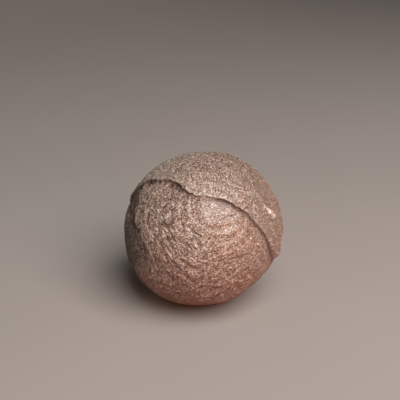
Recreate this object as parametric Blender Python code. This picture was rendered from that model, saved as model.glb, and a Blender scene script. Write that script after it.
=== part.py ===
"""A moqui marble: a ball of sandstone 40 mm across, cemented by iron oxide, in metres, +Z up.

It formed as one piece, so it is one object. A ledge runs round the ball where the outer layer of
its back and top, the cap, ends and stands proud of the front lobe. A lower ledge edges the front
lobe on its left, beside a scar where a flake came off. The ball rests on a small flat spot, whose
middle is the origin.

Directions are an azimuth and an elevation in degrees. Azimuth 0 is the front, -Y, and 90 is the
right, +X.
"""

import math

import bmesh
import bpy
import numpy as np
from mathutils import Vector, noise

MM = 0.001

# The ball without its relief, from left to right, front to back and bottom to top.
WIDTH, DEPTH, HEIGHT = 39.6 * MM, 39.2 * MM, 39.2 * MM
RADIUS = WIDTH / 2
REST_SPOT_RADIUS = 4.8 * MM

# The mesh is a cube's grid blown up to a ball. Near the cap's ledge its rows draw together.
GRID_CELLS = 26
SQUEEZE_SHARE, SQUEEZE_REACH = 0.6, 10.0

# Broad swells and hollows: azimuth, elevation, reach in degrees, height.
SWELLS = (
    ("upper right swell", 104, 38, 24, 0.30 * MM),
    ("dip in the upper right swell", 99, 31, 8, -0.35 * MM),
    ("right hollow", 84, -10, 16, -0.25 * MM),
    ("flattened lower right", 58, -39, 22, -1.05 * MM),
    ("flattened lower front", 8, -60, 20, -0.80 * MM),
    ("lower left swell", -66, -30, 24, 0.45 * MM),
    ("crown", 128, 62, 15, 0.30 * MM),
    ("dip behind the crown", -165, 40, 18, -0.40 * MM),
    ("back hollow", 165, -8, 26, -0.55 * MM),
    ("back left swell", -125, -5, 22, 0.30 * MM),
)

# The ledges. Each axis points to the middle of the raised side, and each start lies on the ledge,
# near the front. A knot is a turn round the axis to the right of the start, the ledge's rise
# towards the axis there, both in degrees, and the step's height. The cap's knots add how far it is
# from the ledge's foot to its lip, which is short where the lip is sharp and long where it is round.
CAP_AXIS, CAP_START = (152, 35.5), (14, 46)
CAP_KNOTS = (
    (-180, 2, 0.12 * MM, 0.60 * MM),
    (-150, 5, 0.15 * MM, 0.60 * MM),
    (-122, 2, 0.18 * MM, 0.50 * MM),
    (-98, -2, 0.20 * MM, 0.50 * MM),
    (-80, -1, 0.28 * MM, 0.40 * MM),
    (-65, 1.1, 0.40 * MM, 0.35 * MM),
    (-57, 3.6, 0.50 * MM, 0.35 * MM),
    (-48, 2.0, 0.40 * MM, 0.35 * MM),
    (-36, 2.8, 0.45 * MM, 0.35 * MM),
    (-30, 1.8, 0.62 * MM, 0.35 * MM),
    (-22, -3.0, 0.60 * MM, 0.35 * MM),
    (-15, -4.7, 0.46 * MM, 0.35 * MM),
    (-9, -2.1, 0.34 * MM, 0.35 * MM),
    (-4, -1.5, 0.36 * MM, 0.35 * MM),
    (1, -0.7, 0.66 * MM, 0.38 * MM),
    (10, 0.8, 0.72 * MM, 0.40 * MM),
    (20, 0.9, 0.58 * MM, 0.40 * MM),
    (27, 0.6, 0.50 * MM, 0.40 * MM),
    (34, -1.2, 0.52 * MM, 0.50 * MM),
    (43, -2.1, 0.55 * MM, 0.60 * MM),
    (52, -4.4, 0.62 * MM, 0.80 * MM),
    (62, -6, 0.75 * MM, 1.20 * MM),
    (73, -5.2, 0.85 * MM, 1.80 * MM),
    (82, -0.5, 0.85 * MM, 2.30 * MM),
    (92, 5, 0.65 * MM, 2.30 * MM),
    (104, 8, 0.45 * MM, 2.00 * MM),
    (128, 5, 0.30 * MM, 1.20 * MM),
    (155, 3, 0.15 * MM, 0.80 * MM),
)
LOBE_AXIS, LOBE_START = (54, 38), (-54.5, 22)
LOBE_KNOTS = (
    (-180, 0, 0),
    (-36, 0, 0),
    (-27, 0, 0.40 * MM),
    (-17, -1, 0.50 * MM),
    (-8, -5, 0.50 * MM),
    (-2.5, -7.2, 0.55 * MM),
    (6, -3.7, 0.50 * MM),
    (17, -1.7, 0.35 * MM),
    (26, -0.4, 0.15 * MM),
    (36, 0, 0),
)
KNOT_EASE = (-3.0, -1.0, 1.0, 3.0)  # degrees either side of a point that round off its knots

FOOT = 0.45 * MM  # how far the foot of the cap's ledge is below the ledge's line
LOBE_STEP_WIDTH = 1.1 * MM
STEP_FADE = 14 * MM  # how far behind its lip a raised layer thins out
GROOVE_DEPTH, GROOVE_WIDTH = 0.22 * MM, 0.50 * MM
UNDERCUT = 0.32 * MM  # how far the foot is drawn in under a sharp lip
SHARP_RUN = 0.5 * MM  # a lip is sharp where it is no further than this from its foot

# Shallow ovals where a flake came off: azimuth, elevation, half width and half height in degrees,
# depth. They are deepest at the foot, where the rim is crisp.
FLAKE_SCARS = (
    ("left end of the cap's ledge", -90, 25, 21, 12, 0.65 * MM),
    ("right of the crown", 121, 56, 15, 7, 0.75 * MM),
    ("low on the back", 152, -32, 13, 9, 0.45 * MM),
)
SCAR_RIM = 0.28  # how wide the rim is, as a share of the oval
SCAR_TILT = 0.45  # how much deeper the foot is than the middle

# Low rings on the front lobe, where the surface cuts through the ball's thin layers.
RING_PLACE, RING_SPACING, RING_HEIGHT = (7, 34), 2.7 * MM, 0.06 * MM

# Lumps: their size across and their height.
LUMPS = ((11 * MM, 0.22 * MM), (5 * MM, 0.10 * MM), (2.6 * MM, 0.07 * MM))

RIND_COLOR = (0.20, 0.105, 0.072, 1)  # linear, brown with a grey sheen
RIND_ROUGHNESS = 0.6


def direction(azimuth, elevation):
    """The unit vector that points this way."""
    a, e = math.radians(azimuth), math.radians(elevation)
    return np.array((math.sin(a) * math.cos(e), -math.cos(a) * math.cos(e), math.sin(e)))


def unit(vectors):
    """The same vectors, one unit long."""
    return vectors / np.linalg.norm(vectors, axis=-1, keepdims=True)


def smooth(share):
    """0 below 0, 1 above 1, and an S-shaped curve between them."""
    t = np.clip(share, 0, 1)
    return t * t * (3 - 2 * t)


def bell(share):
    """1 at 0, and near 0 beyond 2 on either side."""
    return np.exp(-(share**2))


def ledge_frame(axis, start):
    """A ledge's own axes, as a matrix's columns: its start, a quarter turn to the right, its axis."""
    up, ahead = direction(*axis), direction(*start)
    ahead = unit(ahead - ahead @ up * up)
    return np.column_stack((ahead, np.cross(up, ahead), up))


def read_knots(knots, turns):
    """What a ledge's knots say at these turns, with the corners at the knots eased."""
    at, *columns = np.array(knots).T
    return [
        np.mean([np.interp(turns + ease, at, column, period=360) for ease in KNOT_EASE], axis=0)
        for column in columns
    ]


def turn_and_latitude(local):
    """Where directions lie about a ledge's axis, in degrees."""
    x, y, z = local.T
    return np.degrees(np.arctan2(y, x)), np.degrees(np.arcsin(np.clip(z, -1, 1)))


def ball_grid():
    """A closed mesh of a cube's grid blown up to a ball one unit in radius, with an even equator."""
    mesh = bmesh.new()
    bmesh.ops.create_cube(mesh, size=2)
    bmesh.ops.subdivide_edges(mesh, edges=mesh.edges[:], cuts=GRID_CELLS - 1, use_grid_fill=True)
    for vert in mesh.verts:
        vert.co = Vector([math.tan(c * math.pi / 4) for c in vert.co]).normalized()
    return mesh


def lie_along_cap_ledge(grid):
    """Turns a grid's directions so that its equator is the cap's ledge, and draws its rows to it.

    It returns the directions, how far above the ledge's line each lies, the ledge's height there,
    and the run from its foot to its lip.
    """
    turns, latitudes = turn_and_latitude(grid)
    drawn = latitudes * (1 - SQUEEZE_SHARE * bell(latitudes / SQUEEZE_REACH))
    rises, heights, runs = read_knots(CAP_KNOTS, turns)
    placed = np.radians(drawn + rises * (1 - np.abs(drawn) / 90) ** 2)
    turns = np.radians(turns)
    local = np.column_stack(
        (np.cos(turns) * np.cos(placed), np.sin(turns) * np.cos(placed), np.sin(placed))
    )
    return local @ ledge_frame(CAP_AXIS, CAP_START).T, np.radians(drawn) * RADIUS, heights, runs


def ball_radius(ways):
    """The ball's own radius along each direction, without relief."""
    return 1 / np.linalg.norm(ways / (np.array((WIDTH, DEPTH, HEIGHT)) / 2), axis=1)


def angle_from(ways, place):
    """How far each direction is from a place, in degrees."""
    return np.degrees(np.arccos(np.clip(ways @ direction(*place), -1, 1)))


def swells(ways):
    """The broad swells and hollows."""
    return sum(
        height * bell(angle_from(ways, (azimuth, elevation)) / reach)
        for _, azimuth, elevation, reach, height in SWELLS
    )


def cap_step(above, heights, runs):
    """The cap's ledge: outwards, the step up to its lip and the groove at its foot."""
    step = smooth((above + FOOT) / runs) * np.exp(-np.maximum(above, 0) / STEP_FADE)
    groove = bell((above + FOOT) / GROOVE_WIDTH)
    return heights * step - GROOVE_DEPTH * groove * heights / max(heights)


def lobe_step(ways):
    """The lower ledge at the front lobe's left, with half its height above the ball and half below."""
    turns, latitudes = turn_and_latitude(ways @ ledge_frame(LOBE_AXIS, LOBE_START))
    rises, heights = read_knots(LOBE_KNOTS, turns)
    above = np.radians(latitudes - rises) * RADIUS
    return heights * (smooth(above / LOBE_STEP_WIDTH + 0.5) - 0.5) * np.exp(-np.abs(above) / STEP_FADE * 2)


def lumps(points, size, seed):
    """Soft noise between about -1 and 1, with features of this size."""
    shift = Vector((seed * 7.3, seed * -3.1, seed * 5.7))
    return np.array([noise.noise(Vector(point) / size + shift) for point in points])


def flake_scar(ways, above_ledge, azimuth, elevation, half_width, half_height, depth):
    """One flake scar's dip, which stays on its own side of the cap's ledge."""
    place = direction(azimuth, elevation)
    right = unit(np.cross((0, 0, 1), place))
    aside = np.degrees(ways @ right) / half_width
    above = np.degrees(ways @ np.cross(place, right)) / half_height
    ragged = 0.2 * lumps(ways * RADIUS, 5 * MM, 6)
    inside = smooth((1 - np.hypot(aside, above) + ragged) / SCAR_RIM) * (ways @ place > 0)
    side = np.sign(place @ direction(*CAP_AXIS))
    inside *= smooth(side * above_ledge / FOOT)
    return -depth * inside * (1 - SCAR_TILT * np.clip(above, -1, 1))


def rings(ways):
    """Low rings about a place on the front lobe, which fade out half way round the ball."""
    away = np.radians(angle_from(ways, RING_PLACE)) * RADIUS
    wander = lumps(ways * RADIUS, 9 * MM, 4) * RING_SPACING
    return RING_HEIGHT * np.sin((away + wander) / RING_SPACING * math.tau) * bell(away / (24 * MM))


def relief(ways, above_ledge):
    """Everything that stands out of the ball or dips into it, apart from the cap's ledge."""
    scars = sum(flake_scar(ways, above_ledge, *scar[1:]) for scar in FLAKE_SCARS)
    rough = sum(height * lumps(ways * RADIUS, size, i) for i, (size, height) in enumerate(LUMPS))
    return swells(ways) + lobe_step(ways) + scars + rings(ways) + rough


def concretion_points(grid):
    """Where the grid's vertices go on the finished ball, whose middle is the origin."""
    ways, above, heights, runs = lie_along_cap_ledge(grid)
    out = ball_radius(ways) + relief(ways, above) + cap_step(above, heights, runs)
    towards_cap = unit(direction(*CAP_AXIS) - (ways @ direction(*CAP_AXIS))[:, None] * ways)
    sharp = np.minimum(SHARP_RUN / runs, 1) ** 2 * heights / max(heights)
    under = UNDERCUT * bell((above + FOOT) / FOOT) * sharp
    return ways * out[:, None] + towards_cap * under[:, None]


def stand_on_rest_spot(points):
    """Flattens the ball's lowest part to a spot, and puts the spot at z = 0."""
    depth = HEIGHT / 2 - math.sqrt((HEIGHT / 2) ** 2 - REST_SPOT_RADIUS**2)
    heights = np.maximum(points[:, 2] - points[:, 2].min() - depth, 0)
    return np.column_stack((points[:, :2], heights))


def rind():
    """The iron-oxide rind's material."""
    material = bpy.data.materials.new("iron_oxide_rind")
    material.use_nodes = True
    shader = material.node_tree.nodes["Principled BSDF"]
    shader.inputs["Base Color"].default_value = RIND_COLOR
    shader.inputs["Roughness"].default_value = RIND_ROUGHNESS
    shader.inputs["Metallic"].default_value = 0
    return material


def concretion():
    """The whole ball, as one object."""
    grid = ball_grid()
    points = stand_on_rest_spot(concretion_points(np.array([vert.co for vert in grid.verts])))
    for vert, point in zip(grid.verts, points):
        vert.co = point
    bmesh.ops.triangulate(grid, faces=grid.faces[:], quad_method="BEAUTY")
    mesh = bpy.data.meshes.new("concretion")
    grid.to_mesh(mesh)
    grid.free()
    mesh.shade_smooth()
    mesh.set_sharp_from_angle(angle=math.radians(40))
    mesh.materials.append(rind())
    return bpy.data.objects.new("concretion", mesh)


def main():
    for old in list(bpy.data.objects):
        bpy.data.objects.remove(old)
    collection = bpy.data.collections.new("moqui_marble")
    bpy.context.scene.collection.children.link(collection)
    collection.objects.link(concretion())


main()
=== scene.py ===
"""The moqui marble's looks: a 40 mm ball of iron-cemented sandstone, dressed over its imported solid.

The stone is the solid's own shape at a finer grain: the same named swells, ledges and scars, with
layer edges, cracks, pits, chips and grit added. It is one closed mesh, and the sand half sunk in
its rind is two more.

Directions are an azimuth and an elevation in degrees. Azimuth 0 is the front, -Y, and 90 is the
right, +X.
"""

import math

import bmesh
import bpy
import numpy as np
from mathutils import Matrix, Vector, noise


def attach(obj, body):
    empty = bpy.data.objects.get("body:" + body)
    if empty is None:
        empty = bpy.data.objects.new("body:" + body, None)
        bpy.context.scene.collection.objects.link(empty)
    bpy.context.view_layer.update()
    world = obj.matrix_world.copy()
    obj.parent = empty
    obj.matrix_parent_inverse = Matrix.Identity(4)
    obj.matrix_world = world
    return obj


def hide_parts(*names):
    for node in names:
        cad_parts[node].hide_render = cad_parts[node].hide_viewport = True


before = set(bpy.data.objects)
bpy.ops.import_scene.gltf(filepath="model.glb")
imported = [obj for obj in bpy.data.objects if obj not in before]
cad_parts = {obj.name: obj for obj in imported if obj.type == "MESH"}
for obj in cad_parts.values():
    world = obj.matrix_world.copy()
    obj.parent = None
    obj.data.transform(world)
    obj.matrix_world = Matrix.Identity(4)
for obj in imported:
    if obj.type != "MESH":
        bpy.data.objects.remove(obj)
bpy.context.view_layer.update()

MM = 0.001

# ---------------------------------------------------------------------------------------------
# The solid's own shape, with its values
# ---------------------------------------------------------------------------------------------

WIDTH, DEPTH, HEIGHT = 39.6 * MM, 39.2 * MM, 39.2 * MM
RADIUS = WIDTH / 2
REST_SPOT_RADIUS = 4.8 * MM

# Broad swells and hollows: azimuth, elevation, reach in degrees, height.
SWELLS = (
    ("upper right swell", 104, 38, 24, 0.30 * MM),
    ("dip in the upper right swell", 99, 31, 8, -0.35 * MM),
    ("right hollow", 84, -10, 16, -0.25 * MM),
    ("flattened lower right", 58, -39, 22, -1.05 * MM),
    ("flattened lower front", 8, -60, 20, -0.80 * MM),
    ("lower left swell", -66, -30, 24, 0.45 * MM),
    ("crown", 128, 62, 15, 0.30 * MM),
    ("dip behind the crown", -165, 40, 18, -0.40 * MM),
    ("back hollow", 165, -8, 26, -0.55 * MM),
    ("back left swell", -125, -5, 22, 0.30 * MM),
)

# The ledges. Each axis points to the middle of the raised side, and each start lies on the ledge,
# near the front. A knot is a turn round the axis to the right of the start, the ledge's rise
# towards the axis there, both in degrees, and the step's height. The cap's knots add how far it is
# from the ledge's foot to its lip, short where the lip is sharp and long where it is round.
CAP_AXIS, CAP_START = (152, 35.5), (14, 46)
CAP_KNOTS = (
    (-180, 2, 0.12 * MM, 0.60 * MM),
    (-150, 5, 0.15 * MM, 0.60 * MM),
    (-122, 2, 0.18 * MM, 0.50 * MM),
    (-98, -2, 0.20 * MM, 0.50 * MM),
    (-80, -1, 0.28 * MM, 0.40 * MM),
    (-65, 1.1, 0.40 * MM, 0.35 * MM),
    (-57, 3.6, 0.50 * MM, 0.35 * MM),
    (-48, 2.0, 0.40 * MM, 0.35 * MM),
    (-36, 2.8, 0.45 * MM, 0.35 * MM),
    (-30, 1.8, 0.62 * MM, 0.35 * MM),
    (-22, -3.0, 0.60 * MM, 0.35 * MM),
    (-15, -4.7, 0.46 * MM, 0.35 * MM),
    (-9, -2.1, 0.34 * MM, 0.35 * MM),
    (-4, -1.5, 0.36 * MM, 0.35 * MM),
    (1, -0.7, 0.66 * MM, 0.38 * MM),
    (10, 0.8, 0.72 * MM, 0.40 * MM),
    (20, 0.9, 0.58 * MM, 0.40 * MM),
    (27, 0.6, 0.50 * MM, 0.40 * MM),
    (34, -1.2, 0.52 * MM, 0.50 * MM),
    (43, -2.1, 0.55 * MM, 0.60 * MM),
    (52, -4.4, 0.62 * MM, 0.80 * MM),
    (62, -6, 0.75 * MM, 1.20 * MM),
    (73, -5.2, 0.85 * MM, 1.80 * MM),
    (82, -0.5, 0.85 * MM, 2.30 * MM),
    (92, 5, 0.65 * MM, 2.30 * MM),
    (104, 8, 0.45 * MM, 2.00 * MM),
    (128, 5, 0.30 * MM, 1.20 * MM),
    (155, 3, 0.15 * MM, 0.80 * MM),
)
LOBE_AXIS, LOBE_START = (54, 38), (-54.5, 22)
LOBE_KNOTS = (
    (-180, 0, 0),
    (-36, 0, 0),
    (-27, 0, 0.40 * MM),
    (-17, -1, 0.50 * MM),
    (-8, -5, 0.50 * MM),
    (-2.5, -7.2, 0.55 * MM),
    (6, -3.7, 0.50 * MM),
    (17, -1.7, 0.35 * MM),
    (26, -0.4, 0.15 * MM),
    (36, 0, 0),
)
STEP_FADE = 14 * MM

# Scars where flakes came off: azimuth, elevation, half width and half height in degrees, depth.
FLAKE_SCARS = (
    ("left end of the cap's ledge", -90, 25, 21, 12, 0.65 * MM),
    ("right of the crown", 121, 56, 15, 7, 0.75 * MM),
    ("low on the back", 152, -32, 13, 9, 0.45 * MM),
)
SCAR_TILT = 0.45  # how much deeper a scar is at its lower rim, and shallower at its upper one

# Low rings about a place on the front lobe, and lumps: how far apart or large, and how high.
RING_PLACE, RING_SPACING, RING_HEIGHT = (7, 34), 2.7 * MM, 0.06 * MM
RING_WANDER, RING_REACH = 9 * MM, 24 * MM
LUMPS = ((11 * MM, 0.22 * MM), (5 * MM, 0.10 * MM), (2.6 * MM, 0.07 * MM))

# ---------------------------------------------------------------------------------------------
# What the finer mesh makes crisper than the solid
# ---------------------------------------------------------------------------------------------

GRID_CELLS = 127
SQUEEZE_SHARE, SQUEEZE_REACH = 0.65, 7.0  # how much the rows draw to the ledge, from how far
KNOT_EASE = (-1.2, -0.4, 0.4, 1.2)  # the turns about a knot that its value is averaged over

# The cap's ledge, from its foot up. The groove lies just below the foot, and the lip above it
# leans out over it where the run from foot to lip is shorter than SHARP_RUN.
FOOT = 0.30 * MM
GROOVE_DOWN = 1.1 * FOOT
GROOVE_DEPTH, GROOVE_WIDTH = 0.17 * MM, 0.26 * MM
RUN_CUT = 0.16 * MM  # how much nearer to its foot each lip is than in the solid
SHARP_RUN, UNDERCUT = 0.28 * MM, 0.20 * MM
FULL_CHIPS = 0.5 * MM  # how high the ledge is where its chips are whole

# Its painted shadow: how far it reaches up the face, and down from the foot of a ledge that is
# SHADE_HEIGHT high, how much that varies, and how high the ledge is where the painted shadow is
# whole. Then the width of the painted highlight along its lip.
RISER_SHADE = 0.32 * MM
SHADE_WIDTH, SHADE_HEIGHT = 0.75 * MM, 0.55 * MM
SHADE_PATCHES, SHADE_VARIES = 0.9 * MM, 0.7
FULL_SHADE = 0.6 * MM
LIP_WIDTH = 0.4 * MM

# The lower ledge: its step, its foot's groove, and how high it is where the side below, dulled and
# given painted shade, is whole.
LOBE_STEP_WIDTH = 1.0 * MM
LOBE_FOOT_DOWN, LOBE_FOOT_WIDTH, LOBE_FOOT_DEPTH = 0.35 * MM, 0.35 * MM, 0.10 * MM
LOBE_FULL_FLANK = 0.3 * MM

SCAR_RIM = 0.28  # the rim's share of a scar's half width

# How dark the painted shade is in the ledge's groove, the holes, the cracks, the lower
# ledge's foot and along the scars' rims. Then the height of relief over which painted shade in its
# low places turns to a paler tone on its high ones.
PAINTED_SHADE_SHARES = (1, 1, 0.8, 0.55, 0.35)
RELIEF_SHADING_RANGE = 0.6 * MM

# Noise that breaks an edge or a surface, as layers: the size, how far it moves it, and the seed.
LOBE_RAGGED = ((2.2 * MM, 0.6 * MM, 31), (0.9 * MM, 0.35 * MM, 32))
SCAR_RAGGED = ((5 * MM, 0.2, 6), (1.0 * MM, 0.10, 7))
FLECK_RAGGED = ((1.1 * MM, 0.45 * MM, 44), (0.5 * MM, 0.3 * MM, 45))
CRUMBS = ((1.1 * MM, 0.20 * MM, 74), (0.6 * MM, 0.18 * MM, 75))
GRIT = ((1.5 * MM, 0.035 * MM, 71), (0.85 * MM, 0.025 * MM, 72), (0.5 * MM, 0.035 * MM, 73))

# The chips along the ledge's lip: their length and how far they cut in.
CHIPS = ((3.2 * MM, 0.22 * MM), (1.3 * MM, 0.36 * MM), (0.70 * MM, 0.26 * MM))

# Holes under the left end of the cap's ledge, dark with painted shade: azimuth, elevation,
# radius and depth.
HOLES = (
    (-71.5, 46.5, 0.75 * MM, 0.70 * MM),
    (-66, 48.5, 0.65 * MM, 0.45 * MM),
    (-58, 51, 0.55 * MM, 0.30 * MM),
    (-50, 52.5, 0.55 * MM, 0.28 * MM),
    (-40, 53, 0.65 * MM, 0.40 * MM),
    (-33, 52.5, 0.60 * MM, 0.40 * MM),
    (-28, 50.5, 0.50 * MM, 0.30 * MM),
    (-81, 39.5, 0.65 * MM, 0.70 * MM),
    (-84, 36.5, 0.50 * MM, 0.45 * MM),
)
FULL_HOLE = 0.4 * MM  # how deep a hole is where its painted shade is whole
HOLE_WARP = 0.7 * MM, 0.35  # the size and the share of what bends a hole's outline

# Small pits all over the ball: how many, and the ranges of their radius and depth in millimetres.
# Then how steep pits and holes are, and how many radii from its middle each ends.
PITS, PIT_RADII, PIT_DEPTHS = 110, (0.22, 0.5), (0.10, 0.26)
PIT_STEEPNESS, PIT_END = 1.5, 3

# Cracks, each a line through a few places: its half width, its depth, and the places.
CRACKS = (
    (0.17 * MM, 0.22 * MM, ((32, 34), (27, 33), (22, 32), (18, 32), (13, 30))),
    (0.15 * MM, 0.20 * MM, ((-12, 47), (-11, 41), (-9, 36), (-9, 33))),
    (0.17 * MM, 0.20 * MM, ((-9, 24), (-5, 22), (0, 20))),
    (0.16 * MM, 0.14 * MM, ((-26, 17), (-22, 11), (-16, 5), (-9, -1), (-4, -2))),
    (0.16 * MM, 0.14 * MM, ((-35, 23), (-32, 14), (-26, 7), (-20, 0))),
    (0.22 * MM, 0.12 * MM, ((40, 25), (42, 31), (45, 36), (51, 41), (57, 47), (59, 53))),
    (0.20 * MM, 0.20 * MM, ((150, 10), (158, 2), (161, -8), (170, -14))),
    (0.18 * MM, 0.18 * MM, ((-140, 50), (-150, 42), (-152, 33), (-163, 26))),
    (0.18 * MM, 0.16 * MM, ((104, 8), (110, 0), (111, -9))),
)

# Over what length a crack wanders, and how far. Then over what length it breaks up, how whole it
# is, and how much that varies.
CRACK_WANDER = 1.1 * MM, 0.16 * MM
CRACK_BREAKS, CRACK_WHOLE, CRACK_VARIES = 1.6 * MM, 0.75, 1.2

# Pale flecks of painted highlight and, with a strength below 0, dark patches, the one over the top
# painted shade: half width, how strong, and the places that each runs through.
FLECKS = (
    (0.45 * MM, 1.1, ((58, 29.5), (62, 26))),
    (0.60 * MM, 1.3, ((62.5, 25.5), (66, 21.5))),
    (0.35 * MM, 0.7, ((67, 24), (69, 20))),
    (0.40 * MM, 0.5, ((45, 71), (48, 67))),
    (0.35 * MM, 0.4, ((50, 64), (53, 59))),
    (0.32 * MM, 0.5, ((-37, 25), (-34, 17))),
    (0.32 * MM, 0.5, ((-30, 20), (-25, 14))),
    (0.40 * MM, 0.4, ((-20, 23), (-15, 20))),
    (0.32 * MM, 0.5, ((-25, 8), (-18, 4))),
    (0.32 * MM, 0.5, ((-13, 7), (-5, 1))),
    (0.30 * MM, 0.6, ((150, 45), (158, 41))),
    (0.30 * MM, 0.5, ((-150, 20), (-146, 12))),
    (0.75 * MM, -0.45, ((-31, 27), (-26, 26))),
    (1.10 * MM, -0.22, ((-8, 73), (9, 70))),
    (0.70 * MM, -0.25, ((68, 51), (60, 43))),
    (0.60 * MM, -0.45, ((-97, 72), (-109, 77))),
    (0.32 * MM, -0.5, ((-22, 18), (-16, 15))),
    (0.32 * MM, -0.25, ((-11, 14), (-4, 11))),
    (0.90 * MM, -0.3, ((165, 5), (150, -5))),
)
FLECK_CLUSTERS, FLECK_WHOLE, FLECK_VARIES = 0.4 * MM, 0.55, 1.5  # what breaks the pale ones up

# The painted shadow low on the left end, which dulls it too: how dull and dark it gets, where its
# middle is, the noise at its edge, and between which shares of the way left, and of the way up, it
# comes in.
LEFT_SHADOW, LEFT_SHADOW_PLACE = 0.85, (-100, -5)
LEFT_SHADOW_RAGGED = 4 * MM, 0.05
LEFT_SHADOW_FROM, LEFT_SHADOW_RISE = 0.62, 0.34
LEFT_SHADOW_TOP, LEFT_SHADOW_DROP = 0.42, 0.40

SEED_SHIFT = (7.3, -3.1, 5.7)  # how far apart the noise of one seed and of the next are read


def direction(azimuth, elevation):
    """The unit vector that points this way."""
    a, e = math.radians(azimuth), math.radians(elevation)
    return np.array((math.sin(a) * math.cos(e), -math.cos(a) * math.cos(e), math.sin(e)))


def unit(vectors):
    """The same vectors, one unit long."""
    return vectors / np.linalg.norm(vectors, axis=-1, keepdims=True)


def smooth(share):
    """0 below 0, 1 above 1, and an S-shaped curve between them."""
    t = np.clip(share, 0, 1)
    return t * t * (3 - 2 * t)


def bell(share):
    """1 at 0, and near 0 beyond 2 on either side."""
    return np.exp(-(share**2))


def ledge_frame(axis, start):
    """A ledge's own axes, as columns: its start, a quarter turn to the right, and its axis."""
    up, ahead = direction(*axis), direction(*start)
    ahead = unit(ahead - ahead @ up * up)
    return np.column_stack((ahead, np.cross(up, ahead), up))


def read_knots(knots, turns):
    """What a ledge's knots say at these turns, with the corners at the knots eased."""
    at, *columns = np.array(knots).T
    return [
        np.mean([np.interp(turns + ease, at, column, period=360) for ease in KNOT_EASE], axis=0)
        for column in columns
    ]


def turn_and_latitude(local):
    """Where directions lie about a ledge's axis, in degrees."""
    x, y, z = local.T
    return np.degrees(np.arctan2(y, x)), np.degrees(np.arcsin(np.clip(z, -1, 1)))


def lumps(points, size, seed):
    """Soft noise between about -1 and 1, with features of this size. Each use has its own seed."""
    shift = Vector([seed * step for step in SEED_SHIFT])
    scaled = (points / size + np.array(shift)).tolist()
    return np.array([noise.noise(point) for point in scaled])


def layered_lumps(ways, layers):
    """Several layers of this noise over the ball, each with its size, height and seed."""
    return sum(height * lumps(ways * RADIUS, size, seed) for size, height, seed in layers)


def angle_from(ways, place):
    """How far each direction is from a place, in degrees."""
    return np.degrees(np.arccos(np.clip(ways @ direction(*place), -1, 1)))


def lie_along_cap_ledge(grid):
    """Turns a grid's directions so that its equator is the cap's ledge, and draws its rows to it.

    It returns the directions, how far above the ledge's line each lies, the ledge's height there,
    and the run from its foot to its lip.
    """
    turns, latitudes = turn_and_latitude(grid)
    drawn = latitudes * (1 - SQUEEZE_SHARE * bell(latitudes / SQUEEZE_REACH))
    rises, heights, runs = read_knots(CAP_KNOTS, turns)
    on_ledge = np.column_stack(
        (np.cos(np.radians(turns)), np.sin(np.radians(turns)), np.zeros(len(turns)))
    )
    chips = sum(cut * lumps(on_ledge * RADIUS, size, 20 + i) for i, (size, cut) in enumerate(CHIPS))
    rises = rises + np.degrees(chips / RADIUS) * np.clip(heights / FULL_CHIPS, 0, 1)
    placed = np.radians(drawn + rises * (1 - np.abs(drawn) / 90) ** 2)
    turns = np.radians(turns)
    local = np.column_stack(
        (np.cos(turns) * np.cos(placed), np.sin(turns) * np.cos(placed), np.sin(placed))
    )
    above = np.radians(drawn) * RADIUS
    return local @ ledge_frame(CAP_AXIS, CAP_START).T, above, heights, runs - RUN_CUT


def ball_radius(ways):
    """The ball's own radius along each direction, without relief."""
    return 1 / np.linalg.norm(ways / (np.array((WIDTH, DEPTH, HEIGHT)) / 2), axis=1)


def swells(ways):
    """The broad swells and hollows."""
    return sum(
        height * bell(angle_from(ways, (azimuth, elevation)) / reach)
        for _, azimuth, elevation, reach, height in SWELLS
    )


def cap_step(above, heights, runs):
    """The cap's ledge: outwards, the step up to its lip and the groove at its foot."""
    step = smooth((above + FOOT) / runs) * np.exp(-np.maximum(above, 0) / STEP_FADE)
    groove = bell((above + GROOVE_DOWN) / GROOVE_WIDTH)
    return heights * step - GROOVE_DEPTH * groove * np.sqrt(heights / max(heights))


def lobe_step(ways):
    """The front lobe's left ledge: its step, its foot, and the dull side below, in painted shade."""
    turns, latitudes = turn_and_latitude(ways @ ledge_frame(LOBE_AXIS, LOBE_START))
    rises, heights = read_knots(LOBE_KNOTS, turns)
    above = np.radians(latitudes - rises) * RADIUS + layered_lumps(ways, LOBE_RAGGED)
    step = (smooth(above / LOBE_STEP_WIDTH + 0.5) - 0.5) * np.exp(-np.abs(above) / STEP_FADE * 2)
    foot = bell((above + LOBE_FOOT_DOWN) / LOBE_FOOT_WIDTH) * heights / max(heights)
    flank = smooth(-above / LOBE_STEP_WIDTH) * smooth(heights / LOBE_FULL_FLANK)
    return heights * step - LOBE_FOOT_DEPTH * foot, foot, flank


def flake_scar(ways, above_ledge, azimuth, elevation, half_width, half_height, depth):
    """One flake scar, which stays on its own side of the cap's ledge: its dip, and where it is."""
    place = direction(azimuth, elevation)
    right = unit(np.cross((0, 0, 1), place))
    aside = np.degrees(ways @ right) / half_width
    above = np.degrees(ways @ np.cross(place, right)) / half_height
    ragged = layered_lumps(ways, SCAR_RAGGED)
    inside = smooth((1 - np.hypot(aside, above) + ragged) / SCAR_RIM) * (ways @ place > 0)
    side = np.sign(place @ direction(*CAP_AXIS))
    inside *= smooth(side * above_ledge / FOOT)
    return -depth * inside * (1 - SCAR_TILT * np.clip(above, -1, 1)), inside


def rings(ways):
    """Low rings about a place on the front lobe, which fade out half way round the ball."""
    away = np.radians(angle_from(ways, RING_PLACE)) * RADIUS
    wander = lumps(ways * RADIUS, RING_WANDER, 4) * RING_SPACING
    return RING_HEIGHT * np.sin((away + wander) / RING_SPACING * math.tau) * bell(away / RING_REACH)


# ---------------------------------------------------------------------------------------------
# The fine relief
# ---------------------------------------------------------------------------------------------


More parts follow.
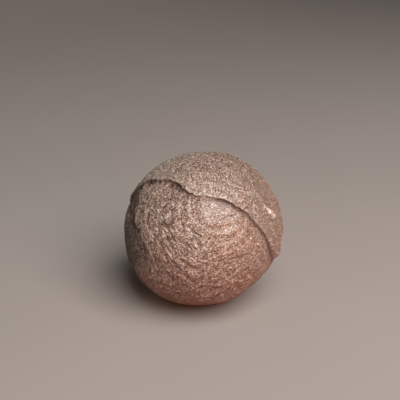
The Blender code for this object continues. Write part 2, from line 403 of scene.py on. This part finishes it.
def off_line(ways, places):
    """How far each direction is, along the surface, from the line through these places."""
    at = ways * RADIUS
    stops = [direction(*place) * RADIUS for place in places]
    nearest = np.full(len(ways), np.inf)
    for start, end in zip(stops, stops[1:]):
        along = end - start
        share = np.clip((at - start) @ along / (along @ along), 0, 1)
        apart = at - start - share[:, None] * along
        apart -= np.sum(apart * ways, axis=1)[:, None] * ways
        nearest = np.minimum(nearest, np.linalg.norm(apart, axis=1) + (at @ start < 0) * RADIUS)
    return nearest


def cracks(ways):
    """The fine cracks, as dips, and how deep in one each direction is."""
    wander_length, wander_width = CRACK_WANDER
    wander = wander_width * lumps(ways * RADIUS, wander_length, 41)
    broken = smooth(CRACK_WHOLE + CRACK_VARIES * lumps(ways * RADIUS, CRACK_BREAKS, 42))
    dips, inside = 0, 0
    for half_width, depth, places in CRACKS:
        here = bell(np.abs(off_line(ways, places) + wander) / half_width) * broken
        dips = dips - depth * here
        inside = np.maximum(inside, here)
    return dips, inside


def flecks(ways):
    """The pale flecks of painted highlight, above 0, and the dark patches, below it."""
    ragged = layered_lumps(ways, FLECK_RAGGED)
    clustered = smooth(FLECK_WHOLE + FLECK_VARIES * lumps(ways * RADIUS, FLECK_CLUSTERS, 47))
    total = 0
    for half_width, strength, places in FLECKS:
        here = strength * bell((off_line(ways, places) + ragged) / half_width)
        total = total + here * (clustered if strength > 0 else 1)
    return total


def left_shadow(ways):
    """The painted shadow low on the left end, which dulls it too."""
    size, share = LEFT_SHADOW_RAGGED
    leftwards = ways @ direction(*LEFT_SHADOW_PLACE) + share * lumps(ways * RADIUS, size, 48)
    low = smooth((LEFT_SHADOW_TOP - ways[:, 2]) / LEFT_SHADOW_DROP)
    return LEFT_SHADOW * smooth((leftwards - LEFT_SHADOW_FROM) / LEFT_SHADOW_RISE) * low


def holes(ways):
    """The holes under the ledge, and small pits all over."""
    dips, inside = 0, 0
    rng = np.random.default_rng(11)
    pits = [
        (unit(rng.normal(size=3)), rng.uniform(*PIT_RADII) * MM, rng.uniform(*PIT_DEPTHS) * MM)
        for _ in range(PITS)
    ]
    pits += [(direction(*place), radius, depth) for *place, radius, depth in HOLES]
    warp_size, warp_share = HOLE_WARP
    warp = 1 + warp_share * lumps(ways * RADIUS, warp_size, 43)
    for way, radius, depth in pits:
        near = ways @ way > math.cos(PIT_END * radius / RADIUS)
        away = np.linalg.norm(ways[near] - way, axis=1) * RADIUS / radius * warp[near]
        here = np.zeros(len(ways))
        here[near] = bell(away**PIT_STEEPNESS)
        dips = dips - depth * here
        inside = np.maximum(inside, here * depth / FULL_HOLE)
    return dips, np.minimum(inside, 1)


# The arcs of the broken layer edges: the place that their turns are counted from, the noise that
# bends them across themselves (size, how many millimetres, seed), and along (size, how far, seeds).
LAMINAE_START = (7, -56)
ARC_WANDER = ((7 * MM, 1.4, 51), (3 * MM, 0.8, 58))
ARC_ASTRAY = 2.3 * MM, 1.6 * MM, 65, 66

# How strong they are, how much that swings round the lobe, and by which turn. Then how far from
# the lobe's middle they come in and fade out, each with its width, and what is left on the cap.
ARC_STRENGTH = 0.70, 0.45, 0.75
ARC_BAND = 2 * MM, 5 * MM, 22 * MM, 10 * MM
ARC_ON_CAP = 0.3

# Their ridges: the height, and the spacing, length and seed of each ridge's noise.
RIDGES = ((0.08 * MM, (0.55 * MM, 2.2 * MM, 52)), (0.08 * MM, (1.0 * MM, 3.2 * MM, 53)))

# Their treads, which rise slowly and drop at once: the height, the spacing, the shares of it where
# the drop starts and that it takes. Then how far they bend, how whole they are and how much that
# varies, each with the spacing, length and seed of its noise.
TREADS = (
    (0.05 * MM, 1.7 * MM, 0.82, 0.18)
    + (0.9 * MM, (2 * MM, 5 * MM, 54))
    + (0.5, 1.5, (2 * MM, 6 * MM, 55)),
    (0.08 * MM, 0.95 * MM, 0.8, 0.2)
    + (1.3 * MM, (1.3 * MM, 2.2 * MM, 56))
    + (0.2, 2, (1.1 * MM, 1.8 * MM, 57)),
)

# The worn skins: their height, the noise that outlines each, and the level where it rises and over
# how much.
SKIN_HEIGHT = 0.04 * MM
SKINS = (
    (((6.5 * MM, 1, 61), (1.6 * MM, 0.35, 62)), 0.12, 0.12),
    (((3.1 * MM, 1, 63), (0.9 * MM, 0.4, 64)), 0.2, 0.15),
)


def laminae(ways, front):
    """The broken edges of the ball's thin layers, which run in arcs round the front lobe.

    It returns their relief, how strong they are here, and each direction's place across and along
    the arcs, for the material to carry them on at a finer grain.
    """
    axes = ledge_frame(RING_PLACE, LAMINAE_START)
    flat = ways @ axes[:, :2] * RADIUS
    turns, latitudes = turn_and_latitude(ways @ axes)
    away = np.radians(90 - latitudes) * RADIUS
    turns = np.radians(turns)
    bends = (lumps(ways * RADIUS, size, seed) * far * MM for size, far, seed in ARC_WANDER)
    run = away + sum(bends)
    size, astray, *seeds = ARC_ASTRAY
    flat = flat + astray * np.column_stack([lumps(ways * RADIUS, size, seed) for seed in seeds])

    def along(spacing, length, seed):
        arcs = np.column_stack((run / spacing + seed * 3.7, flat / length))
        return lumps(arcs, 1, seed)

    def treads(height, spacing, drop_at, drop, bend, bent_by, whole, varies, broken_by):
        share = np.mod((run + bend * along(*bent_by)) / spacing, 1)
        tread = share - smooth((share - drop_at) / drop)
        return height * tread * smooth(whole + varies * along(*broken_by))

    strength, swing, turned = ARC_STRENGTH
    near, near_fade, far, far_fade = ARC_BAND
    where = smooth((away - near) / near_fade) * (1 - smooth((away - far) / far_fade))
    where = where * (strength + swing * np.cos(turns + turned))
    where *= ARC_ON_CAP + (1 - ARC_ON_CAP) * front
    relief = [height * along(*arc) for height, arc in RIDGES] + [treads(*each) for each in TREADS]
    return sum(relief) * where, where, np.column_stack((run, flat))


def skins(ways):
    """Worn remnants of a thin outer skin, low plateaus with crisp ragged edges."""
    return sum(
        SKIN_HEIGHT * smooth((layered_lumps(ways, layers) - level) / rise)
        for layers, level, rise in SKINS
    )


# ---------------------------------------------------------------------------------------------
# The stone's mesh
# ---------------------------------------------------------------------------------------------


def grid_mesh(name, cells):
    """A cube with this many cells along each edge, and where they point on an even ball."""
    grid = bmesh.new()
    bmesh.ops.create_cube(grid, size=2)
    bmesh.ops.subdivide_edges(grid, edges=grid.edges[:], cuts=cells - 1, use_grid_fill=True)
    mesh = bpy.data.meshes.new(name)
    grid.to_mesh(mesh)
    grid.free()
    corners = np.empty(len(mesh.vertices) * 3)
    mesh.vertices.foreach_get("co", corners)
    return mesh, unit(np.tan(corners.reshape(-1, 3) * math.pi / 4))


def in_scene(name, data):
    """A new object with this data, in the scene."""
    piece = bpy.data.objects.new(name, data)
    bpy.context.scene.collection.objects.link(piece)
    return piece


def put(mesh, name, values):
    """Stores one number per vertex, for the material to read."""
    layer = mesh.attributes.new(name, "FLOAT", "POINT")
    layer.data.foreach_set("value", np.asarray(values, dtype=np.float32))


def stone():
    """The whole ball, with its relief."""
    mesh, grid = grid_mesh("stone", GRID_CELLS)
    ways, above, heights, runs = lie_along_cap_ledge(grid)
    front = smooth(-above / FOOT)
    step, foot, flank = lobe_step(ways)
    scars = [flake_scar(ways, above, *scar[1:]) for scar in FLAKE_SCARS]
    rough = sum(height * lumps(ways * RADIUS, size, i) for i, (size, height) in enumerate(LUMPS))
    out = ball_radius(ways) + swells(ways) + step + rings(ways) + rough
    out = out + cap_step(above, heights, runs)
    out = out + sum(dip for dip, _ in scars)

    cap_axis = direction(*CAP_AXIS)
    towards_cap = unit(cap_axis - (ways @ cap_axis)[:, None] * ways)
    sharp = np.minimum(SHARP_RUN / runs, 1) ** 2 * heights / max(heights)
    under = UNDERCUT * bell((above + GROOVE_DOWN) / FOOT) * sharp
    spot = HEIGHT / 2 - math.sqrt((HEIGHT / 2) ** 2 - REST_SPOT_RADIUS**2)
    floor = (ways[:, 2] * out).min() + spot

    crack_dips, in_crack = cracks(ways)
    hole_dips, in_hole = holes(ways)
    layers, layered, arcs = laminae(ways, front)
    on_rim = np.maximum.reduce([4 * inside * (1 - inside) for _, inside in scars])
    fine = layers + skins(ways) + layered_lumps(ways, GRIT) + crack_dips + hole_dips
    fine = fine + on_rim * layered_lumps(ways, CRUMBS)
    points = ways * (out + fine)[:, None] + towards_cap * under[:, None]
    points[:, 2] = np.maximum(points[:, 2] - floor, 0)
    mesh.vertices.foreach_set("co", points.ravel())

    # Painted shade under the cap's ledge, in holes and cracks, at the lower ledge's foot and scar
    # rims.
    varied = 1 + SHADE_VARIES * lumps(ways * RADIUS, SHADE_PATCHES, 49)
    down = SHADE_WIDTH * heights / SHADE_HEIGHT * varied
    high = np.clip(heights / FULL_SHADE, 0, 1)
    off_groove = above + GROOVE_DOWN
    groove = bell(off_groove / np.where(off_groove > 0, RISER_SHADE, down)) * high
    shaded_places = zip(PAINTED_SHADE_SHARES, (groove, in_hole, in_crack, foot, on_rim), strict=True)
    painted_shade = np.maximum.reduce([share * place for share, place in shaded_places])
    put(mesh, "dark", np.clip(painted_shade, 0, 1))
    # The painted highlight along the lip of the cap's ledge.
    put(mesh, "lip", bell((above + FOOT - runs) / LIP_WIDTH) * high)
    # Painted shade on the lower ledge's dull side, in the left scar and low on the left end.
    put(mesh, "flank", np.clip(np.maximum.reduce((flank, scars[0][1], left_shadow(ways))), 0, 1))
    # Painted shade in the relief's low places, and painted light on its high ones.
    put(mesh, "relief_shading", np.clip(0.5 + fine / RELIEF_SHADING_RANGE, 0, 1))
    # Painted highlights as pale flecks, and darker patches.
    put(mesh, "fleck", flecks(ways))
    put(mesh, "layered", layered)
    put(mesh, "capped", 1 - front)
    for name, values in zip(("arc_x", "arc_y", "arc_z"), arcs.T):
        put(mesh, name, values)
    mesh.shade_smooth()
    mesh.update()
    return in_scene("stone", mesh)


# ---------------------------------------------------------------------------------------------
# The sand on the rind
# ---------------------------------------------------------------------------------------------

SAND_GRAINS = 24000
SAND_SIZE, SAND_SPREAD, SAND_SIZES = 0.22 * MM, 0.25, (0.5, 1.9)  # across, and how much it varies
SAND_STRETCH = (0.8, 1.3)  # how much longer or shorter a grain is each way
SAND_SLIDE = 0.07 * MM  # how far from its face's middle it lies
SAND_SUNK = (0.10, 0.30)  # the share of its size that its middle is sunk by
SAND_IN_PAINTED_SHADE = 0.8  # how much less likely it is where the painted shade is darkest
SAND_OFF_FLOOR = 0.3 * MM

# What the stone's vertices store for the material, and each grain takes over.
STORED = ("dark", "flank", "lip", "relief_shading", "fleck", "layered", "capped", "arc_x", "arc_y", "arc_z")

# A grain before it is turned and stretched: an eight-sided crystal.
GRAIN_POINTS = np.array(((1, 0, 0), (-1, 0, 0), (0, 1, 0), (0, -1, 0), (0, 0, 1), (0, 0, -1))) / 2
GRAIN_FACES = np.array(
    ((0, 2, 4), (2, 1, 4), (1, 3, 4), (3, 0, 4), (2, 0, 5), (1, 2, 5), (3, 1, 5), (0, 3, 5))
)


def turned_at_random(rng, count):
    """This many turns, as matrices."""
    w, x, y, z = unit(rng.normal(size=(count, 4))).T
    return np.array(
        (
            (1 - 2 * (y * y + z * z), 2 * (x * y - z * w), 2 * (x * z + y * w)),
            (2 * (x * y + z * w), 1 - 2 * (x * x + z * z), 2 * (y * z - x * w)),
            (2 * (x * z - y * w), 2 * (y * z + x * w), 1 - 2 * (x * x + y * y)),
        )
    ).transpose(2, 0, 1)


def read(items, name, width=1):
    """One property of all of a mesh's items, as an array."""
    found = np.empty(len(items) * width)
    items.foreach_get(name, found)
    return found.reshape(-1, width) if width > 1 else found


def sand(base, name, seed):
    """Sand grains half sunk in the stone's rind, joined as one mesh."""
    rng = np.random.default_rng(seed)
    mesh = base.data
    centres, normals = read(mesh.polygons, "center", 3), read(mesh.polygons, "normal", 3)
    corners = read(mesh.loops, "vertex_index").astype(int)
    firsts = corners[read(mesh.polygons, "loop_start").astype(int)]
    kept = {kind: read(mesh.attributes[kind].data, "value") for kind in STORED}
    # Fewer grains where the painted shade is dark.
    clean = 1 - SAND_IN_PAINTED_SHADE * kept["dark"][firsts]
    chance = read(mesh.polygons, "area") * clean * (centres[:, 2] > SAND_OFF_FLOOR)
    picked = rng.choice(len(centres), SAND_GRAINS, replace=False, p=chance / chance.sum())
    out = normals[picked]

    size = SAND_SIZE * np.exp(rng.normal(0, SAND_SPREAD, SAND_GRAINS)).clip(*SAND_SIZES)
    stretch = rng.uniform(*SAND_STRETCH, (SAND_GRAINS, 1, 3))
    shape = GRAIN_POINTS[None] * stretch * size[:, None, None]
    points = np.einsum("nij,nkj->nki", turned_at_random(rng, SAND_GRAINS), shape)
    slide = rng.normal(0, SAND_SLIDE, (SAND_GRAINS, 3))
    slide -= np.sum(slide * out, axis=1)[:, None] * out
    sunk = (size * rng.uniform(*SAND_SUNK, SAND_GRAINS))[:, None]
    middles = centres[picked] + slide - out * sunk
    points = (points + middles[:, None]).reshape(-1, 3)
    first_points = np.arange(SAND_GRAINS)[:, None, None] * len(GRAIN_POINTS)
    faces = (GRAIN_FACES[None] + first_points).reshape(-1, 3)
    grains = bpy.data.meshes.new(name)
    grains.from_pydata(points.tolist(), [], faces.tolist())
    for kind, values in kept.items():
        put(grains, kind, np.repeat(values[firsts[picked]], len(GRAIN_POINTS)))
    put(grains, "tone", np.repeat(rng.random(SAND_GRAINS), len(GRAIN_POINTS)))
    return in_scene(name, grains)


# ---------------------------------------------------------------------------------------------
# Materials
# ---------------------------------------------------------------------------------------------

# Colours of the rind and of its grains, and of the painted shade, glow and highlights on them.
RUST = (0.172, 0.066, 0.027)
RUST_DEEP = (0.104, 0.034, 0.018)
UNDERSIDE_GLOW = (0.250, 0.064, 0.026)  # painted red glow of reflected light on the underside
# Pale grains, and the painted highlight along the ledge's lip.
PALE_SAND_AND_HIGHLIGHT = (0.67, 0.60, 0.515)
# Clean grains, and the painted highlights of the pale flecks.
CLEAN_SAND_AND_HIGHLIGHT = (0.95, 0.88, 0.78)
# Black grains, and the painted shade under the ledge and in hollows.
BLACK_SAND_AND_SHADE = (0.036, 0.012, 0.006)
# The painted shade of the left side.
LEFT_SHADE_BROWN = (0.034, 0.009, 0.004)

# The patches of the rind: the size, detail and roughness of the noise of the deep rust in the
# rust, and of the rust over both, and the ranges of each, the second with its least and most share.
BROAD_PATCHES, BROAD_RANGE = (9 * MM, 3, 0.55), (0.35, 0.65)
FINE_PATCHES, FINE_RANGE = (2.4 * MM, 3, 0.6), (0.35, 0.75, 0.25, 0.75)

# The rind's surface: its shine, its roughness from its darkest tone to its palest, and the smooth
# mineral sheen over the grains.
RIND_IOR, RIND_TINT = 1.9, (1.0, 0.73, 0.60)
RIND_ROUGHNESS, ROUGH_TONES, DULL_ROUGHER = (0.92, 0.44), (0.1, 0.9), 0.3
HAZE, HAZE_ROUGHNESS, HAZE_IOR = 0.20, 0.38, 2.7

# Each grain has a tone of its own. The tones over which it turns from black to rust, from rust to a
# pale partly metallic glint, and from that to clean sand; and the rarest grains, clean everywhere.
BLACK_TONES = (-0.15, 0.5, 1.0, 0.0)
GLINT_TONES, GRAIN_METAL = (0.48, 1.25), 0.62
CLEAN_TONES = (1.35, 1.75, 0.0, 0.8)
CLEAN_FLECKS = (0.3, 1.1)
RARE_GRAINS, RARE_CLEAN, RARE_CLEAN_UNDER = (0.92, 0.96), 0.20, 0.55

# How far the grains' tones differ, on the body and on the cap, and what moves a grain's tone: the
# streaks, the painted shade and light of the relief, the flecks' painted highlights and the painted
# shade of the left side and of the underside.
SPECK_TONE, CAP_SPECK_TONE = 1.8, 2.35
STREAK_TONE, RELIEF_SHADING_TONE, FLECK_TONE = 1.35, 0.15, 1.0
FLANK_SHADE_TONE, UNDERSIDE_SHADE_TONE = -0.45, -0.22

# The streaks along the arcs, the grains' size, their tilts and the relief between them.
ARC_SPACING, ARC_STRETCH, STREAK_HEIGHT = 0.46 * MM, (1.0, 0.20, 0.20), 1.2
GRAIN, GRAIN_TILT = 0.14 * MM, 0.72
FINEST, FINEST_HEIGHT, BUMP_HEIGHT = 0.16 * MM, 0.5, 0.10 * MM

# How much of the colour the painted shade of the left side, the painted highlight along the lip
# and the painted shade under the ledge and in hollows take, and how dull a side is.
FLANK_SHADE_SHARE, LIP_HIGHLIGHT_SHARE, PAINTED_SHADE_MIX = 0.85, 0.15, 0.85
FLANK_DULL, UNDERSIDE_DULL = 0.8, 0.85

# The heights between which the underside's painted red glow and painted shade fade out, how far
# they wander, and how much rarer glints are there in that painted shade, as a power.
UNDERSIDE, UNDERSIDE_WANDER = (7.0 * MM, 23.0 * MM), 8.0 * MM
UNDERSIDE_GLINTS = 2.2

FLOOR_COLOURS, FLOOR_MOTTLE = ((0.315, 0.288, 0.268), (0.335, 0.308, 0.288)), 60 * MM
FLOOR_ROUGHNESS, FLOOR_SHINE = 0.9, 0.1


class Nodes:
    """A short way to write one material's node tree."""

    def __init__(self, name):
        self.material = bpy.data.materials.new(name)
        self.material.use_nodes = True
        self.tree = self.material.node_tree
        self.shader = self.tree.nodes["Principled BSDF"]
        self.place = self.add("ShaderNodeTexCoord").outputs["Object"]

    def add(self, kind, inputs=(), **settings):
        node = self.tree.nodes.new(kind)
        for name, value in settings.items():
            setattr(node, name, value)
        for name, value in dict(inputs).items():
            self.feed(node.inputs[name], value)
        return node

    def feed(self, socket, value):
        if isinstance(value, bpy.types.NodeSocket):
            self.tree.links.new(value, socket)
        elif isinstance(value, tuple) and len(value) == 3 and socket.type == "RGBA":
            socket.default_value = (*value, 1)
        else:
            socket.default_value = value

    def dress(self, surface):
        for name, value in surface.items():
            self.feed(self.shader.inputs[name], value)

    def stored(self, name):
        return self.add("ShaderNodeAttribute", attribute_name=name).outputs["Fac"]

    def noise(self, size, detail=2, roughness=0.5, at=None):
        inputs = {"Vector": at or self.place, "Scale": 1 / size}
        inputs |= {"Detail": detail, "Roughness": roughness}
        return self.add("ShaderNodeTexNoise", inputs).outputs["Fac"]

    def cells(self, size, output):
        inputs = {"Vector": self.place, "Scale": 1 / size}
        return self.add("ShaderNodeTexVoronoi", inputs).outputs[output]

    def vector(self, operation, a, b=None, scale=None):
        node = self.add("ShaderNodeVectorMath", operation=operation)
        self.feed(node.inputs[0], a)
        if b is not None:
            self.feed(node.inputs[1], b)
        if scale is not None:
            self.feed(node.inputs["Scale"], scale)
        return node.outputs["Vector"]

    def spread(self, value, low, high, to_low=0.0, to_high=1.0):
        inputs = {"Value": value, "From Min": low, "From Max": high}
        inputs |= {"To Min": to_low, "To Max": to_high}
        return self.add("ShaderNodeMapRange", inputs, clamp=True).outputs["Result"]

    def more(self, value, scale, base):
        return self.math("MULTIPLY_ADD", value, scale, base)

    def math(self, operation, *values):
        node = self.add("ShaderNodeMath", operation=operation)
        for socket, value in zip(node.inputs, values):
            self.feed(socket, value)
        return node.outputs["Value"]

    def mix(self, share, a, b):
        node = self.add("ShaderNodeMix", data_type="RGBA")
        self.feed(node.inputs[0], share)
        self.feed(node.inputs[6], a)
        self.feed(node.inputs[7], b)
        return node.outputs[2]


def rind(name, sandy):
    """The iron-oxide rind: rust under a grey mineral sheen, speckled grain by grain."""
    n = Nodes(name)
    dark, flank, lip, relief_shading, fleck, layered, capped = (n.stored(each) for each in STORED[:7])
    broad = n.noise(*BROAD_PATCHES)
    patchy = n.noise(*FINE_PATCHES)
    arcs = {axis: n.stored(f"arc_{axis.lower()}") for axis in "XYZ"}
    arcs = n.add("ShaderNodeCombineXYZ", arcs).outputs["Vector"]
    across = n.vector("MULTIPLY", arcs, ARC_STRETCH)
    streak = [n.noise(spacing, 1, at=across) for spacing in (ARC_SPACING, ARC_SPACING / 2)]
    streak = n.math("MULTIPLY", n.math("SUBTRACT", n.math("ADD", *streak), 1.0), layered)
    # How low each place is, for the underside's painted red glow and painted shade.
    height = n.add("ShaderNodeSeparateXYZ", {"Vector": n.place}).outputs["Z"]
    height = n.more(n.math("SUBTRACT", broad, 0.5), UNDERSIDE_WANDER, height)
    under = n.spread(height, *UNDERSIDE, 1.0, 0.0)

    # Every grain's tone, with the painted shade and light of the relief, the flecks' painted
    # highlights and the painted shade of the left side and of the underside.
    cell = n.cells(GRAIN, "Color")
    if sandy:
        speck = n.stored("tone")
    else:
        speck = n.add("ShaderNodeSeparateColor", {"Color": cell}).outputs[0]
    rare = n.spread(speck, *RARE_GRAINS)
    strength = n.more(capped, CAP_SPECK_TONE - SPECK_TONE, SPECK_TONE)
    tone = n.more(n.math("SUBTRACT", speck, 0.5), strength, 0.5)
    tone = n.more(streak, STREAK_TONE, tone)
    # Painted shade in the relief's low places, and painted light on its high ones.
    tone = n.more(n.math("SUBTRACT", relief_shading, 0.5), RELIEF_SHADING_TONE, tone)
    tone = n.more(fleck, FLECK_TONE, tone)
    tone = n.more(flank, FLANK_SHADE_TONE, tone)
    tone = n.more(under, UNDERSIDE_SHADE_TONE, tone)

    # Its colour: the rind's, with the painted red glow of the underside and the painted shade of the
    # left side, then the grain's own, with the painted highlights of the lip and the flecks, then the
    # painted shade under the ledge and in hollows over both.
    colour = n.mix(n.spread(broad, *BROAD_RANGE), RUST_DEEP, RUST)
    colour = n.mix(n.spread(patchy, *FINE_RANGE), colour, RUST)
    # The painted red glow of reflected light on the underside.
    colour = n.mix(under, colour, UNDERSIDE_GLOW)
    # The painted shade of the left side.
    colour = n.mix(n.math("MULTIPLY", flank, FLANK_SHADE_SHARE), colour, LEFT_SHADE_BROWN)
    colour = n.mix(n.spread(tone, *BLACK_TONES), colour, BLACK_SAND_AND_SHADE)
    glint = n.spread(tone, *GLINT_TONES)
    # Fewer glints on the underside, as painted shade.
    glint = n.mix(under, glint, n.math("POWER", glint, UNDERSIDE_GLINTS))
    colour = n.mix(glint, colour, PALE_SAND_AND_HIGHLIGHT)
    # The painted highlight along the lip.
    colour = n.mix(n.math("MULTIPLY", lip, LIP_HIGHLIGHT_SHARE), colour, PALE_SAND_AND_HIGHLIGHT)
    # Clean sand on the rarest grains, and the painted highlights of the pale flecks.
    clean = n.math("MAXIMUM", n.spread(fleck, *CLEAN_FLECKS), n.spread(tone, *CLEAN_TONES))
    rare = n.math("MULTIPLY", rare, n.more(under, RARE_CLEAN_UNDER, RARE_CLEAN))
    colour = n.mix(n.math("MAXIMUM", clean, rare), colour, CLEAN_SAND_AND_HIGHLIGHT)
    # The painted shade under the cap's ledge and in hollows.
    colour = n.mix(n.math("MULTIPLY", dark, PAINTED_SHADE_MIX), colour, BLACK_SAND_AND_SHADE)

    dull_flank = n.math("MULTIPLY", flank, FLANK_DULL)
    dull_under = n.math("MULTIPLY", under, UNDERSIDE_DULL)
    duller = n.math("MAXIMUM", n.math("MAXIMUM", dark, dull_flank), dull_under)
    rough = n.more(duller, DULL_ROUGHER, n.spread(tone, *ROUGH_TONES, *RIND_ROUGHNESS))
    metal = n.math("MULTIPLY", glint, GRAIN_METAL)
    metal = n.math("MULTIPLY", metal, n.math("SUBTRACT", 1.0, duller))
    surface = {
        "Base Color": colour,
        "Roughness": rough,
        "Metallic": metal,
        "IOR": RIND_IOR,
        "Specular Tint": RIND_TINT,
        "Coat Weight": HAZE,
        "Coat Roughness": HAZE_ROUGHNESS,
        "Coat IOR": HAZE_IOR,
    }
    if not sandy:
        height = n.math("MULTIPLY", n.noise(FINEST), FINEST_HEIGHT)
        height = n.math("SUBTRACT", height, n.cells(GRAIN, "Distance"))
        height = n.more(streak, STREAK_HEIGHT, height)
        bump = {"Height": height, "Distance": BUMP_HEIGHT, "Strength": 1.0}
        bump = n.add("ShaderNodeBump", bump).outputs["Normal"]
        tilt = n.vector("SUBTRACT", cell, (0.5, 0.5, 0.5))
        tilt = n.vector("SCALE", tilt, scale=GRAIN_TILT)
        surface["Normal"] = n.vector("NORMALIZE", n.vector("ADD", bump, tilt))
    n.dress(surface)
    return n.material


def floor_finish():
    """The plain pale floor."""
    n = Nodes("pale_floor")
    colour = n.mix(n.noise(FLOOR_MOTTLE), *FLOOR_COLOURS)
    n.dress({"Base Color": colour, "Roughness": FLOOR_ROUGHNESS, "Specular IOR Level": FLOOR_SHINE})
    return n.material


# ---------------------------------------------------------------------------------------------
# The floor, the light and the camera
# ---------------------------------------------------------------------------------------------

FLOOR_REACH = 3.0  # how far the floor goes on from the stone
ROOM_COLOUR, ROOM_STRENGTH = (0.90, 0.86, 0.83, 1), 0.012

VIEW_ELEVATION = 25.0
VIEW_DISTANCE = 10 * RADIUS
FOCAL_PIXELS = 781.0
IMAGE_PIXELS = 400
SENSOR_WIDTH = 36
NEAREST_SEEN = 0.01
STONE_MIDDLE_PIXEL = (203.5, 227.7)
STONE_MIDDLE = (0.0, 0.0, 19.4 * MM)

# The lights: where each stands, how far away, how wide and high it is, its power, its colour, and
# how widely it shines, in degrees. The fill stands in for the glow of the skin that holds the stone
# in the photograph. It shines narrowly, so that the floor below it stays pale.
LIGHTS = (
    ("key", (33, 51), 0.50, (0.40, 0.40), 4.15, (1.0, 0.965, 0.94), 180),
    ("fill", (36, 9), 0.60, (0.5, 0.13), 0.25, (1.0, 0.32, 0.17), 60),
    ("back", (205, 20), 0.70, (0.6, 0.4), 0.55, (1.0, 0.93, 0.87), 180),
)


def soft_light(name, way, distance, size, power, colour, spread):
    """A soft panel of light, aimed at the stone."""
    light = bpy.data.lights.new(name, "AREA")
    light.shape = "RECTANGLE"
    light.size, light.size_y = size
    light.energy, light.color = power, colour
    light.spread = math.radians(spread)
    place = Vector(np.array(STONE_MIDDLE) + direction(*way) * distance)
    lamp = in_scene(name, light)
    lamp.location = place
    lamp.rotation_euler = (Vector(STONE_MIDDLE) - place).to_track_quat("-Z", "Y").to_euler()


def camera():
    """The camera, which sees the stone's middle a little right of the picture's and below it."""
    data = bpy.data.cameras.new("camera")
    data.sensor_width = SENSOR_WIDTH
    data.lens = FOCAL_PIXELS * data.sensor_width / IMAGE_PIXELS
    data.clip_start = NEAREST_SEEN
    eye = in_scene("camera", data)
    eye.location = np.array(STONE_MIDDLE) + direction(0, VIEW_ELEVATION) * VIEW_DISTANCE
    right, below = ((pixel - IMAGE_PIXELS / 2) / FOCAL_PIXELS for pixel in STONE_MIDDLE_PIXEL)
    pitch = math.radians(VIEW_ELEVATION) - math.atan(below)
    eye.rotation_euler = (math.pi / 2 - pitch, 0, math.atan(right))
    bpy.context.scene.camera = eye


def floor():
    """A wide plain floor under the stone."""
    mesh = bpy.data.meshes.new("floor")
    grid = bmesh.new()
    bmesh.ops.create_grid(grid, x_segments=2, y_segments=2, size=FLOOR_REACH)
    grid.to_mesh(mesh)
    grid.free()
    mesh.materials.append(floor_finish())
    piece = in_scene("floor", mesh)


def room():
    """Even grey light from all round."""
    world = bpy.data.worlds.new("room")
    world.use_nodes = True
    background = world.node_tree.nodes["Background"].inputs
    background["Color"].default_value = ROOM_COLOUR
    background["Strength"].default_value = ROOM_STRENGTH
    bpy.context.scene.world = world


camera()
floor()
room()
for light in LIGHTS:
    soft_light(*light)
bpy.context.scene.view_settings.view_transform = "Standard"

ball = stone()
ball.data.materials.append(rind("iron_oxide_rind", sandy=False))
sandy = rind("iron_oxide_sand", sandy=True)
pieces = [ball]
for name, seed in (("sand", 5), ("more_sand", 6)):
    grains = sand(ball, name, seed)
    grains.data.materials.append(sandy)
    pieces.append(grains)
for piece in pieces:
    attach(piece, "root")
    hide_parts("concretion")
